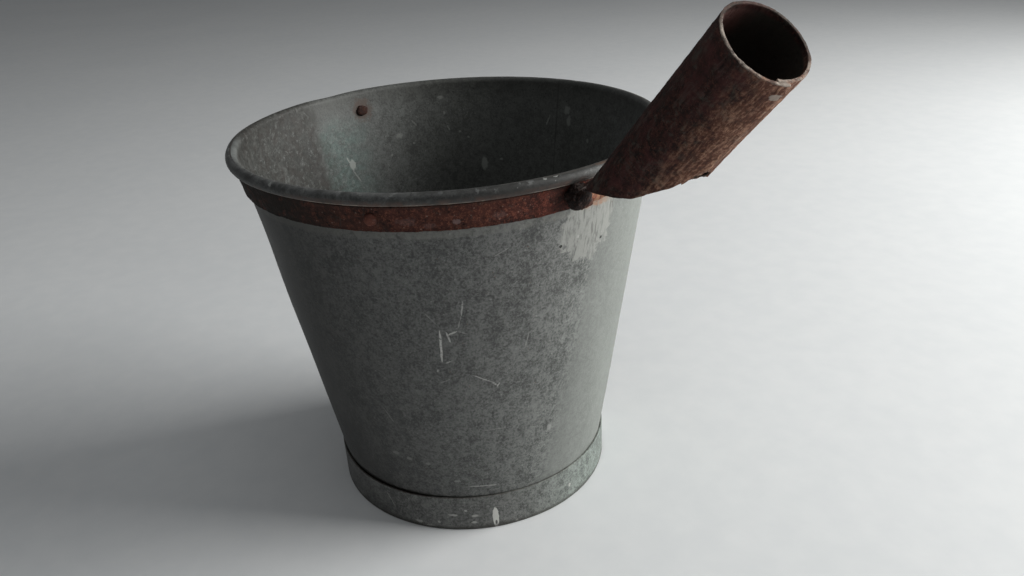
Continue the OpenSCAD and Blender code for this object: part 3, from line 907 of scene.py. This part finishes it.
# Painted light: the socket's lower side, towards the window, made lighter and tan; the dark, grey and red
# marks below are weakened there.
window_lit_side = (lowness/tube_r + (ripple - 0.5)*0.9 + (streaky - 0.5)*0.5).rise(0.30, 1.12)
skin = socket.mix(window_lit_side*0.7, skin, (0.185, 0.075, 0.046))
skin = socket.mix((streaky*0.6 + powder*0.4).rise(0.47, 0.60)*window_lit_side*0.85, skin, (0.46, 0.265, 0.175))
shadowed = (streaky*0.6 + powder*0.4).rise(0.49, 0.40)
skin = socket.mix(shadowed*(0.75 - window_lit_side*0.35), skin, (0.013, 0.008, 0.007))
grey = (socket.grain(95, 6, 0.72, swirl=0.8)*0.6 + streaky*0.4).rise(0.50, 0.60)*(1 - window_lit_side*0.8)
skin = socket.mix(grey*0.55, skin, (0.082, 0.082, 0.068))
red = (socket.grain(60, 4, 0.6)*0.7 + streaky*0.3).rise(0.49, 0.60)*(1 - window_lit_side)
skin = socket.mix(red*0.5, skin, (0.085, 0.026, 0.025))
worn_lip = socket.grain(160, 4, 0.7).rise(0.38, 0.60)*((lowness - socket.y)/tube_r).rise(-0.5, 0.4)
lip = (from_mouth - socket.grain(400, 3)*0.0010 + 0.0004).rise(0.0006, 0.0001)
skin = socket.mix(lip*(worn_lip*0.8 + 0.12), skin, (0.38, 0.33, 0.28))
lap_line = socket.y*-1 - lowness*sin(radians(9))
lap_edge = abs(lap_line + (ripple - 0.5)*0.004).rise(0.0010, 0.0002)*lowness.rise(0.020, 0.0215)
skin = socket.mix(lap_edge*streaky.rise(0.4, 0.6)*0.6, skin, (0.34, 0.26, 0.20))
chip_up = (socket.y + 0.0060)/0.0030
chip_along = (from_mouth - 0.0075)/0.0022
chip = (chip_up**2 + chip_along**2)**0.5 + (socket.grain(500, 4) - 0.5)*0.9
skin = socket.mix(chip.rise(1.1, 0.8)*lowness.rise(0.012, 0.016)*0.7, skin, (0.42, 0.37, 0.32))
reach = (socket.y**2 + lowness**2)**0.5
# Painted shade: the inside of the bore darkened.
bore = reach.rise(bore_r + 0.0009, bore_r + 0.0004)*from_mouth.rise(0.0015, 0.004)
skin = socket.mix(bore*0.93, skin, (0.026, 0.025, 0.020))
lit_top = ((socket.y*0.8 + lowness)/tube_r*-1 + (ripple - 0.5)*0.7 - from_mouth*14).rise(0.1, 0.8)
skin = socket.mix(bore*lit_top*(streaky*0.6 + 0.5), skin, (0.110, 0.048, 0.042))
tip = socket.x.rise(0.158, 0.154)*abs(socket.y + 0.003).rise(0.006, 0.003)*(1 - bore)
skin = socket.mix(tip*socket.grain(220, 4).rise(0.35, 0.6)*0.45, skin, (0.20, 0.185, 0.165))
socket_rust = socket.shader(skin, powder*0.2 + 0.68, 0.0, height + streaky*0.6, 0.8, 0.0010, **matt)
tube.data.materials.append(socket_rust)
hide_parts("handle_socket")
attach(tube, "root")


# Socket weld: a coarse lump of weld and slag that fixes the socket's tongue to the strap,
# nearly black, with a painted orange highlight along its lower right edge.
lump_r = 0.0080
lump_spot = (wall_r(0.2545) + band_t + 0.0030, -0.0044, 0.2556)
bpy.ops.object.select_all(action="DESELECT")
bpy.ops.mesh.primitive_ico_sphere_add(subdivisions=6, radius=lump_r, location=(0, 0, 0))
lump = bpy.context.object
lump.name = "weld_lump"
for point in lump.data.vertices:
    rough = noise.noise(point.co*95 + Vector((0, 2, 7)))*0.55 + noise.noise(point.co*230)*0.20
    rough += noise.noise(point.co*520)*0.09 + noise.noise(point.co*1300)*0.05
    point.co *= 1 + rough
    point.co.x *= 0.82
    point.co.y *= 1.08
    point.co.z *= 0.96
lump.data.transform(Matrix.Translation(lump_spot))
close_up(lump, 60)
weld = Finish("weld_scale")
skin, height, powder = old_rust(weld, (0.007, 0.005, 0.005), (0.018, 0.010, 0.008),
                                (0.055, 0.026, 0.019), (0.024, 0.021, 0.019), (0.045, 0.034, 0.029))
# Painted highlight: orange along the lump's lower right edge.
lower_right_highlight = (weld.z + (weld.grain(300, 4) - 0.5)*0.004 - weld.y*0.9).rise(0.2535, 0.2485)
skin = weld.mix(lower_right_highlight*0.4, skin, (0.17, 0.065, 0.040))
lump.data.materials.append(weld.shader(skin, powder*0.2 + 0.66, 0.0, height, 0.8, 0.0009, **matt))
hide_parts("socket_weld")
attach(lump, "root")


# Table, window light and camera: the pail stands on a plain pale table top, lit softly from
# a window on the socket's far side, and is looked at from a little above its rim.
bpy.ops.object.select_all(action="DESELECT")
bpy.ops.mesh.primitive_plane_add(size=14, location=(0, 0, -0.0003))
table = bpy.context.object
table.name = "table_top"
top = Finish("pale_table")
smudge = top.grain(3.0, 4)*0.5 + top.grain(40, 3)*0.5
skin = top.mix(smudge.rise(0.3, 0.7), (0.76, 0.785, 0.795), (0.81, 0.83, 0.835))
table.data.materials.append(top.shader(skin, 0.6, 0.0, smudge, 0.03))

world = bpy.data.worlds.new("room_light")
bpy.context.scene.world = world
world.use_nodes = True
sky = world.node_tree.nodes["Background"].inputs
sky["Color"].default_value = (0.97, 0.985, 1.0, 1)
sky["Strength"].default_value = 0.13


def window(name, turn, rise, distance, size, power, colour):
    """A square soft light aimed at the middle of the pail."""
    aim = Vector((0, 0, 0.14))
    level = cos(radians(rise))
    way = Vector((cos(radians(turn))*level, sin(radians(turn))*level, sin(radians(rise))))
    lamp = bpy.data.lights.new(name, "AREA")
    lamp.size = size
    lamp.energy = power
    lamp.color = colour
    holder = bpy.data.objects.new(name, lamp)
    bpy.context.scene.collection.objects.link(holder)
    holder.location = aim + way*distance
    holder.rotation_euler = (-way).to_track_quat("-Z", "Y").to_euler()


window("window", 58, 22, 2.2, 1.5, 70, (1.0, 0.99, 0.97))
window("room_fill", -30, 80, 2.6, 2.2, 8, (0.97, 0.985, 1.0))

camera = bpy.data.cameras.new("camera")
camera.lens = 29.9
camera.sensor_width = 36
viewer = bpy.data.objects.new("camera", camera)
bpy.context.scene.collection.objects.link(viewer)
look = Vector((-0.751, 0.501, -0.430)).normalized()
right = Vector((0.575, 0.817, -0.051))
right = (right - look*right.dot(look)).normalized()
upward = right.cross(look)
turned = Matrix((right, upward, -look)).transposed().to_4x4()
viewer.matrix_world = Matrix.Translation((0.5053, -0.2918, 0.4174)) @ turned
bpy.context.scene.camera = viewer
bpy.context.scene.view_settings.view_transform = "Standard"
